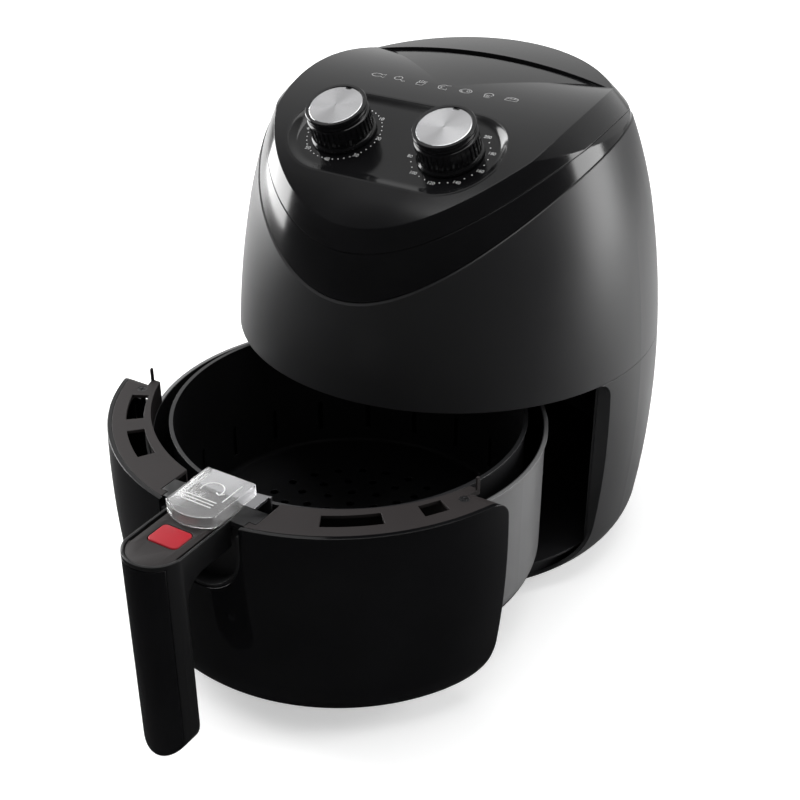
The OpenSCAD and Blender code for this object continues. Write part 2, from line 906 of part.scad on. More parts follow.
module recess_prism(half, low, y0, y1) {
    translate([0, -y1, 0]) {
        translate([0, 0, low + half]) rotate([-90, 0, 0]) cylinder(r = half, h = y1 - y0);
        translate([-half, 0, low + half]) cube([2 * half, y1 - y0, panel_top + 20 - low - half]);
    }
}

module front_panel() {
    color([0.045, 0.045, 0.05]) at_drawer() difference() {
        intersection() {
            egg_shell(0, panel_wall);
            opening_field(panel_y, panel_bottom, panel_top, corner_low - 2.5, corner_top);
        }
        recess_prism(recess_half + 2, recess_low - 2, 100, 150);
    }
}

module panel_liner() {
    r0 = pan_rim_r + 0.8;
    r1 = r0 + 1.4;
    low = bay_floor + rail_h + 0.5;
    color([0.1, 0.1, 0.1]) at_drawer() intersection() {
        front_half(panel_y);
        egg(panel_wall + fit);
        slab(low, pan_top - 2);
        union() {
            at_pan() tube_z(r0, r1, 0, big);
            difference() {
                translate([-big, -panel_y - 2, 0]) cube([2 * big, 2, big]);
                at_pan() disc_z(r0, 0, big);
            }
            difference() {
                slab(low, low + 2);
                at_pan() disc_z(r0, 0, big);
            }
        }
    }
}

module rim_plate() {
    out = panel_r - panel_wall - fit;
    notch = tee_half + 0.5;
    low = pan_top + fit;
    fin_top = panel_top + fin_h;
    color([0.2, 0.19, 0.19]) at_drawer() difference() {
        intersection() {
            front_half(panel_y);
            union() {
                difference() {
                    disc_z(out, panel_top - rim_t, panel_top);
                    at_pan() disc_z(rim_in_r, 0, big);
                }
                difference() {
                    disc_z(out, low, panel_top);
                    disc_z(out - 1.4, 0, panel_top - rim_t);
                    at_pan() disc_z(rim_in_r, 0, big);
                }
                at_pan() tube_z(rim_in_r, rim_in_r + 1.2, low, panel_top);
                // Lugs and fins at both ends, clear of the rounded corners of the front
                for (s = [-1, 1]) translate([0, -panel_y, 0]) rotate([90, 0, 0]) {
                    linear_extrude(height = corner_top + 1) polygon([
                        [s * 111.5, panel_top - 3], [s * 118, panel_top - 3],
                        [s * 118, panel_top], [s * 111.5, panel_top]
                    ]);
                    linear_extrude(height = 2) polygon([
                        [s * 111.5, panel_top - 3], [s * 118, panel_top - 3],
                        [s * 114, fin_top], [s * 111.5, fin_top]
                    ]);
                }
            }
            union() {
                opening_field(panel_y, 0, panel_top, 1, corner_top);
                front_half(panel_y + corner_top);
                disc_z(119, 0, big);
            }
        }
        // Slots: three long ones and a short one beside the right-hand screw
        for (a = [[-62.5, -49.5], [-43.5, -30], [28.5, 44], [54, 60.5]])
            ring_sector(slot_in_r, slot_in_r + slot_w, panel_top - 6, panel_top + 1, a[0] - 90, a[1] - 90);
        for (a = [-screw_a, screw_a]) rotate([0, 0, a]) translate([0, -slot_in_r - slot_w / 2 - 1, 0]) {
            disc_z(1.5, 100, 160);
            disc_z(2.9, panel_top - 1.2, 160);
        }
        translate([-notch, -tee_front - 0.4, pan_top + 5]) cube([2 * notch, 60, 60]);
        translate([-neck_half - 0.5, -140, pan_top + 5]) cube([2 * neck_half + 1, 60, 60]);
        translate([-recess_half - 3, -140, 0]) cube([2 * recess_half + 6, 15, 160]);
    }
}

module rim_screws() {
    color([0.35, 0.35, 0.36]) at_drawer()
        for (a = [-screw_a, screw_a]) rotate([0, 0, a]) translate([0, -slot_in_r - slot_w / 2 - 1, 0]) {
            difference() {
                disc_z(2.8, panel_top - 1.2, panel_top - 0.1);
                translate([-1.9, -0.35, panel_top - 0.6]) cube([3.8, 0.7, 2]);
                translate([-0.35, -1.9, panel_top - 0.6]) cube([0.7, 3.8, 2]);
            }
            disc_z(1.45, panel_top - 9, panel_top - 1.2);
        }
}

module latch_pocket() {
    y1 = panel_r - panel_wall + 1.2;
    y0 = y1 - recess_deep;
    color([0.06, 0.06, 0.065]) at_drawer() difference() {
        intersection() {
            recess_prism(recess_half + 1.8, recess_low - 1.8, y0 - 1.6, y1 + 1);
            egg(0.8);
            slab(0, plate_z - fit);
        }
        recess_prism(recess_half, recess_low, y0, y1 + 10);
        translate([-latch_half - 1, -y1, latch_z - 2]) cube([2 * latch_half + 2, 30, 40]);
    }
}

// ---- Basket and handle ----

module basket_wall() {
    r = basket_r - basket_lip;
    slot_h = 22;
    color([0.13, 0.13, 0.135]) at_drawer() at_pan() difference() {
        union() {
            tube_z(r - basket_wall_t, r, basket_low + 4, basket_top);
            tube_z(r - basket_wall_t / 2, basket_r, basket_top - 1.8, basket_top);
            translate([0, 0, basket_low + 4]) rotate_extrude() difference() {
                translate([r - 4, 0]) intersection() {
                    circle(r = 4);
                    translate([0, -4]) square([4, 4]);
                }
                translate([r - 4, 0]) circle(r = 4 - basket_wall_t);
            }
            tube_z(r - 9, r - 4, basket_low, basket_low + basket_wall_t);
        }
        for (i = [0:wall_slots - 1]) rotate([0, 0, (i + 0.5) * 360 / wall_slots])
            translate([r - 5, -1.6, basket_low + 12]) cube([10, 3.2, slot_h]);
        for (a = [-97, -83]) rotate([0, 0, a]) translate([r - 5, 0, basket_top - 14])
            rotate([0, 90, 0]) cylinder(r = 2.05, h = 20);
    }
}

module basket_base() {
    r = basket_r - basket_lip - 5;
    rings = floor((r - 14) / hole_pitch);
    color([0.13, 0.13, 0.135]) at_drawer() at_pan() difference() {
        union() {
            disc_z(r, basket_low + basket_wall_t, basket_low + 2 * basket_wall_t);
            for (i = [0:3]) rotate([0, 0, 45 + i * 90]) translate([r - 22, 0, 0])
                disc_z(4, pan_low + pan_wall + fit, basket_low + basket_wall_t + 0.5);
        }
        disc_z(hole_r, 0, big);
        for (k = [1:rings]) for (i = [0:5 * k - 1]) rotate([0, 0, i * 72 / k + 9 * k])
            if (abs(k * hole_pitch - (r - 22)) > 7) translate([k * hole_pitch, 0, 0])
                cylinder(r = hole_r, h = big, $fn = 24);
    }
}

module basket_bracket() {
    r = basket_r - basket_lip;
    step_z = basket_top - 3.8;
    color("silver") at_drawer() difference() {
        union() {
            at_pan() {
                ring_sector(r + 0.1, r + 1.7, basket_top - 26, step_z, -101, -79);
                ring_sector(r + 0.1, basket_r + 1.9, step_z - 1.6, step_z, -101, -79);
                ring_sector(basket_r + 0.3, basket_r + 1.9, step_z - 1.6, plate_z + 2, -101, -79);
            }
            difference() {
                union() {
                    translate([-19, -arm_end + 1, plate_z]) cube([38, arm_end - 90, 2]);
                    translate([-12, -bracket_end, plate_z]) cube([24, bracket_end - 100, 2]);
                }
                at_pan() disc_z(basket_r + 1, 0, big);
            }
        }
        at_pan() for (a = [-97, -83]) rotate([0, 0, a]) translate([r - 5, 0, basket_top - 14])
            rotate([0, 90, 0]) cylinder(r = 2.05, h = 20);
    }
}

module bracket_rivets() {
    r = basket_r - basket_lip;
    color("silver") at_drawer() at_pan() for (a = [-97, -83]) rotate([0, 0, a])
        translate([r - 1, 0, basket_top - 14]) rotate([0, 90, 0]) {
            translate([0, 0, -1.2]) cylinder(r = 3, h = 1.1);
            translate([0, 0, -0.2]) cylinder(r = 2, h = 4.6);
            translate([0, 0, 2.9]) cylinder(r = 3.4, h = 1.5);
        }
}

module handle_plan() {
    translate([0, -front_cy]) circle(r = front_round);
    translate([-front_round, -front_cy]) square([2 * front_round, big]);
}

// Side view of grip and arm, drawn with y to the right and z up
module handle_side() {
    difference() {
        union() {
            translate([-handle_y - 2, grip_low]) square([grip_d + 2, panel_top - grip_low]);
            translate([-handle_y - 2, arm_low]) square([handle_y + 2 - arm_end, panel_top - arm_low]);
            translate([-grip_back, arm_low - arm_round]) square([arm_round, arm_round]);
        }
        translate([-grip_back + arm_round, arm_low - arm_round]) circle(r = arm_round);
    }
}

module handle_form() {
    intersection() {
        translate([-big / 2, 0, 0]) rotate([90, 0, 90]) linear_extrude(height = big) handle_side();
        linear_extrude(height = panel_top) intersection() {
            handle_plan();
            translate([-arm_half, -big]) square([handle_w, 2 * big]);
        }
        union() {
            translate([0, 0, grip_low + arm_half]) rotate([90, 0, 0]) cylinder(r = arm_half, h = big);
            translate([-arm_half, -big, grip_low + arm_half]) cube([handle_w, big, big]);
        }
    }
}

module front_cover_cut() {
    translate([-big, -big - handle_y + front_d, -1]) cube([2 * big, big, panel_top - 2.4 + 1]);
}

module handle_body() {
    color([0.11, 0.11, 0.115]) at_drawer() difference() {
        union() {
            difference() {
                handle_form();
                front_cover_cut();
            }
            // Tee that drops into the rim plate's notch
            translate([-tee_half, -tee_front, cap_low - 0.5])
                cube([2 * tee_half, tee_front - tee_back, panel_top - cap_low + 0.5]);
            translate([-neck_half, -arm_end, cap_low - 0.5])
                cube([2 * neck_half, arm_end - tee_front + 1, panel_top - cap_low + 0.5]);
        }
        // Well of the arm, open at the top
        intersection() {
            translate([-groove_x, -front_cy, arm_floor]) cube([2 * groove_x, front_cy - arm_end + 3, big]);
            slab(arm_floor, cap_low);
        }
        intersection() {
            translate([0, 0, cap_low]) linear_extrude(height = big) intersection() {
                translate([0, -front_cy]) {
                    circle(r = groove_x);
                    translate([-groove_x, 0]) square([2 * groove_x, front_cy - tee_back - 2]);
                }
                translate([-big, -big]) square([2 * big, big - tee_back - 2]);
            }
        }
        translate([-latch_half - 0.5, -arm_end - 4, arm_floor]) cube([2 * latch_half + 1, 20, cap_low - arm_floor]);
        translate([-groove_x, -arm_end - 1, arm_floor + 3]) cube([2 * groove_x, 20, cap_low - arm_floor - 3]);
        // Hollow of the grip behind its front cover
        translate([-arm_half + 4, -handle_y + front_d - 1, grip_low + 12])
            cube([handle_w - 8, grip_d - front_d - 2, arm_low - grip_low - 18]);
        for (z = screw_z) translate([0, -grip_back + 1, z]) rotate([90, 0, 0]) {
            cylinder(r = 1.6, h = 10);
            cylinder(r = 3, h = 2.6);
        }
    }
}

module handle_front() {
    color([0.045, 0.045, 0.05]) at_drawer() difference() {
        intersection() {
            handle_form();
            translate([0, -seam, -seam]) front_cover_cut();
        }
        difference() {
            intersection() {
                translate([-arm_half + 4, -handle_y + 2.5, grip_low + 14])
                    cube([handle_w - 8, 20, arm_low - grip_low - 14]);
                translate([0, -front_cy, 0]) disc_z(front_round - 2.5, 0, big);
            }
            for (z = screw_z) translate([0, 0, z]) rotate([90, 0, 0]) cylinder(r = 4, h = big);
        }
        for (z = screw_z) translate([0, 2.5 - handle_y, z]) rotate([-90, 0, 0]) cylinder(r = 1.5, h = 20);
    }
}

module handle_cap() {
    hole_w = button_w + 0.8;
    hole_l = button_l + 0.8;
    color([0.17, 0.17, 0.17]) at_drawer() difference() {
        translate([0, 0, cap_low]) linear_extrude(height = cap_t) union() {
            intersection() {
                translate([0, -front_cy]) circle(r = groove_x - 0.4);
                translate([-big, -front_cy - big]) square([2 * big, big]);
            }
            translate([-cap_half, -front_cy]) square([2 * cap_half, front_cy - tee_back - 2.4]);
        }
        translate([0, -button_y, 0]) rounded_block(hole_w, hole_l, 3.4, 0, big);
        for (s = [-1, 1]) translate([s * (cap_half + groove_x) / 2, -front_cy, 0])
            translate([-(groove_x - cap_half) / 2, -3, 0]) cube([groove_x - cap_half, 6, big]);
    }
}

module rounded_block(w, l, r, z0, z1) {
    translate([0, 0, z0]) linear_extrude(height = z1 - z0) {
        for (sx = [-1, 1]) for (sy = [-1, 1])
            translate([sx * (w / 2 - r), sy * (l / 2 - r)]) circle(r = r, $fn = 32);
        square([w, l - 2 * r], center = true);
        square([w - 2 * r, l], center = true);
    }
}

module handle_screws() {
    color("silver") at_drawer() for (z = screw_z) translate([0, -grip_back - 1.6, z]) rotate([90, 0, 0]) {
        cylinder(r = 1.45, h = grip_d - 5.5);
        translate([0, 0, -1.4]) cylinder(r = 2.8, h = 1.4);
    }
}

module spring_coil(r, wire, z0, z1, turns) {
    steps = 14;
    sides = 6;
    n = steps * turns;
    function at(i) = [r * cos(i * 360 / steps), r * sin(i * 360 / steps), z0 + (z1 - z0) * i / n];
    pts = [for (i = [0:n]) for (k = [0:sides - 1])
        at(i) + wire * [cos(i * 360 / steps) * cos(k * 60), sin(i * 360 / steps) * cos(k * 60), sin(k * 60)]];
    faces = concat(
        [[for (k = [0:sides - 1]) k]],
        [for (i = [0:n - 1]) for (k = [0:sides - 1])
            [i * sides + k, (i + 1) * sides + k, (i + 1) * sides + (k + 1) % sides, i * sides + (k + 1) % sides]],
        [[for (k = [sides - 1:-1:0]) n * sides + k]]
    );
    polyhedron(points = pts, faces = faces);
}

module button_spring() {
    color("silver") at_drawer() translate([0, -button_y, 0])
        spring_coil(3.2, 0.4, arm_floor + 0.7, cap_low - 3.2, 4);
}

module release_button() {
    color([0.7, 0.16, 0.2]) at_drawer() translate([0, -button_y, 0]) {
        rounded_block(button_w, button_l, 3, cap_low - 2.4, panel_top - 0.1);
    }
}

module latch_bar() {
    color("silver") at_drawer() translate([-latch_half, -button_y + 7.5, latch_z])
        cube([2 * latch_half, button_y - 7.5 - (panel_r - panel_wall + 1.2 - recess_deep - 3), latch_t - 1.4]);
}

module guard_plan(w, l) {
    sag = 6;
    r = (pow(w / 2, 2) + pow(sag, 2)) / (2 * sag);
    intersection() {
        translate([-w / 2, -guard_front]) square([w, l]);
        translate([0, -guard_front + r]) circle(r = r);
    }
    translate([-w / 2, -guard_front + sag]) square([w, l - sag]);
}

module button_guard() {
    low = panel_top + fit;
    high = panel_top + guard_h;
    color([0.85, 0.88, 0.9, 0.45]) at_drawer() difference() {
        union() {
            translate([0, 0, low]) linear_extrude(height = high - low) guard_plan(guard_w, guard_l);
            for (s = [-1, 1]) translate([s * (guard_half - guard_t / 2) - guard_t / 2, -guard_front + 9, cap_low + 0.3])
                cube([guard_t, guard_front - 11.5 - tee_back, high - cap_low - 1]);
        }
        translate([0, guard_t, cap_low]) linear_extrude(height = high - guard_t - cap_low)
            guard_plan(guard_w - 2 * guard_t, guard_l + 5);
    }
}

upper_shell();
lower_shell();
base_plate();
feet();
base_screws();
cap_band();
top_cover();
inlet_grille();
outlet_grille();
outlet_duct();
bay_liner();
drawer_rails();
ceiling_plate();
chamber();
heat_shield();
heating_element();
element_clips();
heater_guard();
motor();
motor_bracket();
timer_unit();
thermostat_unit();
sensor_bulb();
micro_switch();
cord_gland();
terminal_block();
motor_shaft();
hot_air_fan();
cooling_fan();
timer_shaft();
timer_knob();
timer_disc();
thermostat_shaft();
temperature_knob();
temperature_disc();
pan();
front_panel();
panel_liner();
rim_plate();
latch_pocket();
rim_screws();
basket_wall();
basket_base();
basket_bracket();
bracket_rivets();
handle_body();
handle_front();
handle_cap();
handle_screws();
button_spring();
release_button();
latch_bar();
button_guard();
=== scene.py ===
import math

import bpy
from mathutils import Matrix, Vector


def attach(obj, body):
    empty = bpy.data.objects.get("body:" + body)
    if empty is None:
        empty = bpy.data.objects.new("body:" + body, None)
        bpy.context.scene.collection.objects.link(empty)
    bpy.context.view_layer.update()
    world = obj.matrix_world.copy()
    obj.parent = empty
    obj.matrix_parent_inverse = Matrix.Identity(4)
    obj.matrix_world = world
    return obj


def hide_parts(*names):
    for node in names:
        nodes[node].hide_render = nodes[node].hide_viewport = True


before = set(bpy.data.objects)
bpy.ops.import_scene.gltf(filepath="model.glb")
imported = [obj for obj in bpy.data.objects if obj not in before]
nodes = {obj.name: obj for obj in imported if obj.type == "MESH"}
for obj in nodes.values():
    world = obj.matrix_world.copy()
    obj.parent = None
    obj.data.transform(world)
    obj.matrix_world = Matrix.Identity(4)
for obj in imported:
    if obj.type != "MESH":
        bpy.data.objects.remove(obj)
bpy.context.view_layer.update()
bpy.ops.object.select_all(action="DESELECT")
scene = bpy.context.scene
scene.view_settings.view_transform = "Standard"


# ---------------------------------------------------------------------------------------------
# Camera, floor and lamps. The camera stands to the right of the drawer front and looks down on
# it at about 30 degrees. The floor is a white sheet that keeps the shadow. For the camera it also glows,
# weakly near the middle and fully further out. In reflections its colour is painted dark towards the front, a
# painted dark reflection.
CAMERA_PLACE = Vector((0.38760, -0.68975, 0.54385))
CAMERA_AZIMUTH = math.radians(31.62)
CAMERA_ELEVATION = math.radians(30.42)
camera_back = Vector((math.sin(CAMERA_AZIMUTH) * math.cos(CAMERA_ELEVATION),
                      -math.cos(CAMERA_AZIMUTH) * math.cos(CAMERA_ELEVATION),
                      math.sin(CAMERA_ELEVATION)))
camera_right = Vector((math.cos(CAMERA_AZIMUTH), math.sin(CAMERA_AZIMUTH), 0.0))
camera_up = camera_back.cross(camera_right)
camera = bpy.data.objects.new("camera", bpy.data.cameras.new("camera"))
scene.collection.objects.link(camera)
camera.matrix_world = Matrix(((camera_right.x, camera_up.x, camera_back.x, CAMERA_PLACE.x),
                              (camera_right.y, camera_up.y, camera_back.y, CAMERA_PLACE.y),
                              (camera_right.z, camera_up.z, camera_back.z, CAMERA_PLACE.z),
                              (0.0, 0.0, 0.0, 1.0)))
SENSOR_WIDTH = 36.0
FOCAL_SHARE = 1347.02 / 800.0
camera.data.sensor_width = SENSOR_WIDTH
camera.data.lens = SENSOR_WIDTH * FOCAL_SHARE
camera.data.clip_start = 0.01
scene.camera = camera

FLOOR_SIZE = 12.0
FLOOR_DROP = 0.0003
PAPER_WHITE = 0.86
bpy.ops.mesh.primitive_plane_add(size=FLOOR_SIZE, location=(0.0, 0.0, -FLOOR_DROP))
floor = bpy.context.object
floor.name = "floor"
floor_white = bpy.data.materials.new("floor white")
floor_white.use_nodes = True
tree = floor_white.node_tree
shader = tree.nodes["Principled BSDF"]
shader.inputs["Roughness"].default_value = 0.9
shader.inputs["Specular IOR Level"].default_value = 0.1
shader.inputs["Emission Color"].default_value = (1.0, 1.0, 1.0, 1.0)
path = tree.nodes.new("ShaderNodeLightPath")
spot = tree.nodes.new("ShaderNodeTexCoord")
away = tree.nodes.new("ShaderNodeVectorMath")
away.operation = "LENGTH"
tree.links.new(spot.outputs["Object"], away.inputs[0])
glow = tree.nodes.new("ShaderNodeMapRange")
glow.inputs["From Min"].default_value = 0.5
glow.inputs["From Max"].default_value = 1.8
glow.inputs["To Min"].default_value = 0.42
glow.inputs["To Max"].default_value = 1.0
tree.links.new(away.outputs["Value"], glow.inputs["Value"])
lift = tree.nodes.new("ShaderNodeMath")
lift.operation = "MULTIPLY"
tree.links.new(path.outputs["Is Camera Ray"], lift.inputs[0])
tree.links.new(glow.outputs["Result"], lift.inputs[1])
tree.links.new(lift.outputs[0], shader.inputs["Emission Strength"])
# Painted dark reflection: for glossy rays the floor's colour is painted near black at the front and rises to
# white behind, so gloss parts mirror a dark floor.
parts = tree.nodes.new("ShaderNodeSeparateXYZ")
tree.links.new(spot.outputs["Object"], parts.inputs["Vector"])
painted_reflection_fade = tree.nodes.new("ShaderNodeMapRange")
painted_reflection_fade.interpolation_type = "SMOOTHSTEP"
painted_reflection_fade.inputs["From Min"].default_value = -0.22
painted_reflection_fade.inputs["From Max"].default_value = 0.35
painted_reflection_fade.inputs["To Min"].default_value = 0.03
painted_reflection_fade.inputs["To Max"].default_value = PAPER_WHITE
tree.links.new(parts.outputs["Y"], painted_reflection_fade.inputs["Value"])
floor_or_painted_reflection = tree.nodes.new("ShaderNodeMix")
floor_or_painted_reflection.data_type = "RGBA"
floor_or_painted_reflection.inputs["A"].default_value = (PAPER_WHITE, PAPER_WHITE, PAPER_WHITE, 1.0)
tree.links.new(painted_reflection_fade.outputs["Result"], floor_or_painted_reflection.inputs["B"])
tree.links.new(path.outputs["Is Glossy Ray"], floor_or_painted_reflection.inputs["Factor"])
tree.links.new(floor_or_painted_reflection.outputs["Result"], shader.inputs["Base Color"])
floor.data.materials.append(floor_white)

world = bpy.data.worlds.new("studio")
world.use_nodes = True
scene.world = world
sky = world.node_tree
background = sky.nodes["Background"]
path = sky.nodes.new("ShaderNodeLightPath")
seen = sky.nodes.new("ShaderNodeMath")
seen.operation = "MAXIMUM"
sky.links.new(path.outputs["Is Camera Ray"], seen.inputs[0])
sky.links.new(path.outputs["Is Transmission Ray"], seen.inputs[1])
towards = sky.nodes.new("ShaderNodeTexCoord")
behind = sky.nodes.new("ShaderNodeVectorMath")
behind.operation = "DOT_PRODUCT"
behind.inputs[1].default_value = (-0.15, 0.80, 0.58)
sky.links.new(towards.outputs["Generated"], behind.inputs[0])
backdrop = sky.nodes.new("ShaderNodeMapRange")
backdrop.interpolation_type = "SMOOTHSTEP"
backdrop.inputs["From Min"].default_value = 0.25
backdrop.inputs["From Max"].default_value = 0.85
backdrop.inputs["To Min"].default_value = 0.02
backdrop.inputs["To Max"].default_value = 0.72
sky.links.new(behind.outputs["Value"], backdrop.inputs["Value"])
fill = sky.nodes.new("ShaderNodeMapRange")
fill.inputs["To Min"].default_value = 0.30
sky.links.new(backdrop.outputs["Result"], fill.inputs["To Max"])
sky.links.new(path.outputs["Is Glossy Ray"], fill.inputs["Value"])
level = sky.nodes.new("ShaderNodeMapRange")
level.inputs["To Max"].default_value = 1.0
sky.links.new(fill.outputs["Result"], level.inputs["To Min"])
sky.links.new(seen.outputs[0], level.inputs["Value"])
background.inputs["Color"].default_value = (1.0, 1.0, 1.0, 1.0)
sky.links.new(level.outputs["Result"], background.inputs["Strength"])


def softbox(name, place, aim, width, height, power):
    lamp = bpy.data.lights.new(name, "AREA")
    lamp.shape = "RECTANGLE"
    lamp.size = width
    lamp.size_y = height
    lamp.energy = power
    holder = bpy.data.objects.new(name, lamp)
    scene.collection.objects.link(holder)
    holder.location = place
    holder.rotation_euler = (Vector(aim) - Vector(place)).to_track_quat("-Z", "Y").to_euler()
    return holder


softbox("overhead softbox", (0.1, -0.1, 1.7), (0.0, -0.05, 0.15), 1.3, 1.3, 14.0)
softbox("left softbox", (-1.5, -0.05, 0.5), (0.0, 0.0, 0.18), 1.0, 1.6, 46.0)
softbox("right softbox", (1.35, 0.75, 0.5), (0.0, 0.0, 0.18), 0.7, 1.2, 20.0)


# ---------------------------------------------------------------------------------------------
# Upper and lower body shells: injection-moulded plastic with a fine satin spark finish,
# screwed to the base from below and to each other inside.
def new_surface_group():
    group = bpy.data.node_groups.new("moulded surface", "ShaderNodeTree")
    face = group.interface
    face.new_socket("Colour", in_out="INPUT", socket_type="NodeSocketColor")
    for label, value in (("Roughness", 0.4), ("Grain Size", 900.0), ("Grain Depth", 0.00002),
                         ("Mottle", 0.05), ("Edge Radius", 0.0005), ("Edge Wear", 0.0)):
        face.new_socket(label, in_out="INPUT", socket_type="NodeSocketFloat").default_value = value
    face.new_socket("Colour", in_out="OUTPUT", socket_type="NodeSocketColor")
    face.new_socket("Roughness", in_out="OUTPUT", socket_type="NodeSocketFloat")
    face.new_socket("Normal", in_out="OUTPUT", socket_type="NodeSocketVector")
    made, link = group.nodes, group.links.new
    take, give = made.new("NodeGroupInput"), made.new("NodeGroupOutput")
    place = made.new("ShaderNodeTexCoord")
    grain = made.new("ShaderNodeTexNoise")
    grain.inputs["Detail"].default_value = 2.0
    link(place.outputs["Object"], grain.inputs["Vector"])
    link(take.outputs["Grain Size"], grain.inputs["Scale"])
    rounded = made.new("ShaderNodeBevel")
    rounded.samples = 4
    link(take.outputs["Edge Radius"], rounded.inputs["Radius"])
    bump = made.new("ShaderNodeBump")
    link(take.outputs["Grain Depth"], bump.inputs["Distance"])
    link(grain.outputs["Fac"], bump.inputs["Height"])
    link(rounded.outputs["Normal"], bump.inputs["Normal"])
    link(bump.outputs["Normal"], give.inputs["Normal"])
    blotch = made.new("ShaderNodeTexNoise")
    blotch.inputs["Scale"].default_value = 17.0
    blotch.inputs["Detail"].default_value = 5.0
    link(place.outputs["Object"], blotch.inputs["Vector"])
    spread = made.new("ShaderNodeMapRange")
    spread.inputs["From Min"].default_value = 0.3
    spread.inputs["From Max"].default_value = 0.7
    spread.inputs["To Min"].default_value = -1.0
    spread.inputs["To Max"].default_value = 1.0
    link(blotch.outputs["Fac"], spread.inputs["Value"])
    amount = made.new("ShaderNodeMath")
    amount.operation = "MULTIPLY"
    link(spread.outputs["Result"], amount.inputs[0])
    link(take.outputs["Mottle"], amount.inputs[1])
    rough = made.new("ShaderNodeMath")
    rough.operation = "MULTIPLY_ADD"
    rough.use_clamp = True
    link(amount.outputs[0], rough.inputs[0])
    link(take.outputs["Roughness"], rough.inputs[1])
    link(take.outputs["Roughness"], rough.inputs[2])
    link(rough.outputs[0], give.inputs["Roughness"])
    corner = made.new("ShaderNodeNewGeometry")
    worn = made.new("ShaderNodeMapRange")
    worn.inputs["From Min"].default_value = 0.53
    worn.inputs["From Max"].default_value = 0.62
    link(corner.outputs["Pointiness"], worn.inputs["Value"])
    wear = made.new("ShaderNodeMath")
    wear.operation = "MULTIPLY"
    link(worn.outputs["Result"], wear.inputs[0])
    link(take.outputs["Edge Wear"], wear.inputs[1])
    total = made.new("ShaderNodeMath")
    total.operation = "ADD"
    link(wear.outputs[0], total.inputs[0])
    link(amount.outputs[0], total.inputs[1])
    factor = made.new("ShaderNodeMath")
    factor.operation = "ADD"
    factor.inputs[1].default_value = 1.0
    link(total.outputs[0], factor.inputs[0])
    tint = made.new("ShaderNodeVectorMath")
    tint.operation = "SCALE"
    link(take.outputs["Colour"], tint.inputs[0])
    link(factor.outputs[0], tint.inputs["Scale"])
    link(tint.outputs["Vector"], give.inputs["Colour"])
    return group


surface_group = new_surface_group()


def moulded(name, colour, roughness, grain_size=900.0, grain_depth=0.00002, mottle=0.06,
            edge=0.0005, wear=0.15, metallic=0.0, specular=0.5, coat=0.0):
    material = bpy.data.materials.new(name)
    material.use_nodes = True
    made, link = material.node_tree.nodes, material.node_tree.links.new
    shader = made["Principled BSDF"]
    group = made.new("ShaderNodeGroup")
    group.node_tree = surface_group
    group.inputs["Colour"].default_value = (*colour, 1.0)
    for label, value in (("Roughness", roughness), ("Grain Size", grain_size), ("Grain Depth", grain_depth),
                         ("Mottle", mottle), ("Edge Radius", edge), ("Edge Wear", wear)):
        group.inputs[label].default_value = value
    link(group.outputs["Colour"], shader.inputs["Base Color"])
    link(group.outputs["Roughness"], shader.inputs["Roughness"])
    link(group.outputs["Normal"], shader.inputs["Normal"])
    shader.inputs["Metallic"].default_value = metallic
    shader.inputs["Specular IOR Level"].default_value = specular
    shader.inputs["Coat Weight"].default_value = coat
    return material


def dress(material, *names):
    for name in names:
        nodes[name].data.materials.clear()
        nodes[name].data.materials.append(material)


shell_satin = moulded("satin shell plastic", (0.016, 0.016, 0.017), 0.36, 1400.0, 0.000012, 0.05)
dress(shell_satin, "upper_shell", "lower_shell")


# Base plate with its screws, rubber feet and cord bushing: a matt moulding with vent slots,
# screwed up into the casing. The feet and the bushing are pushed through round holes.
base_matt = moulded("base plastic", (0.022, 0.022, 0.023), 0.55, 700.0, 0.00003)
dress(base_matt, "base_plate")
foot_rubber = moulded("foot rubber", (0.012, 0.012, 0.012), 0.72, 500.0, 0.00004, 0.1)
dress(foot_rubber, "feet", "cord_gland")
screw_steel = moulded("screw steel", (0.52, 0.53, 0.55), 0.32, 600.0, 0.00001, 0.1, 0.0002, metallic=1.0)
dress(screw_steel, "base_screws")


# Drawer bay: a black heat-proof liner with two sliding rails and a small safety switch. The
# grilles of the air ways are plain matt mouldings with bars.
bay_black = moulded("bay liner plastic", (0.010, 0.010, 0.011), 0.34, 500.0, 0.00002, 0.12)
dress(bay_black, "bay_liner")
grille_black = moulded("grille plastic", (0.014, 0.014, 0.015), 0.5)
dress(grille_black, "inlet_grille", "outlet_grille", "micro_switch", "drawer_rails", "cooling_fan")


# Hot side: ceiling, chamber, heat shield, duct and brackets are pressed from galvanised sheet.
# The tubular element is tinted by heat, and the sensor bulb is bare copper.
zinc_sheet = moulded("galvanised sheet", (0.46, 0.47, 0.48), 0.38, 260.0, 0.00001, 0.22, 0.0004, metallic=1.0)
dress(zinc_sheet, "ceiling_plate", "chamber", "heat_shield", "outlet_duct", "motor_bracket",
      "element_clips", "heater_guard")
heater_tube = moulded("heat-tinted tube", (0.16, 0.12, 0.10), 0.42, 300.0, 0.00001, 0.3, 0.0002, metallic=1.0)
dress(heater_tube, "heating_element")
bulb_copper = moulded("bare copper", (0.72, 0.40, 0.25), 0.3, metallic=1.0)
dress(bulb_copper, "sensor_bulb")


# Fan motor on its bracket, with a pressed metal wheel for the hot air below and a plastic
# wheel for cooling above, both held on one steel shaft.
motor_iron = moulded("motor iron", (0.24, 0.24, 0.25), 0.45, 300.0, 0.00002, 0.15, metallic=0.8)
dress(motor_iron, "motor")
fan_metal = moulded("pressed fan metal", (0.58, 0.59, 0.6), 0.3, 300.0, 0.00001, 0.1, metallic=1.0)
dress(fan_metal, "hot_air_fan")
dress(screw_steel, "motor_shaft")


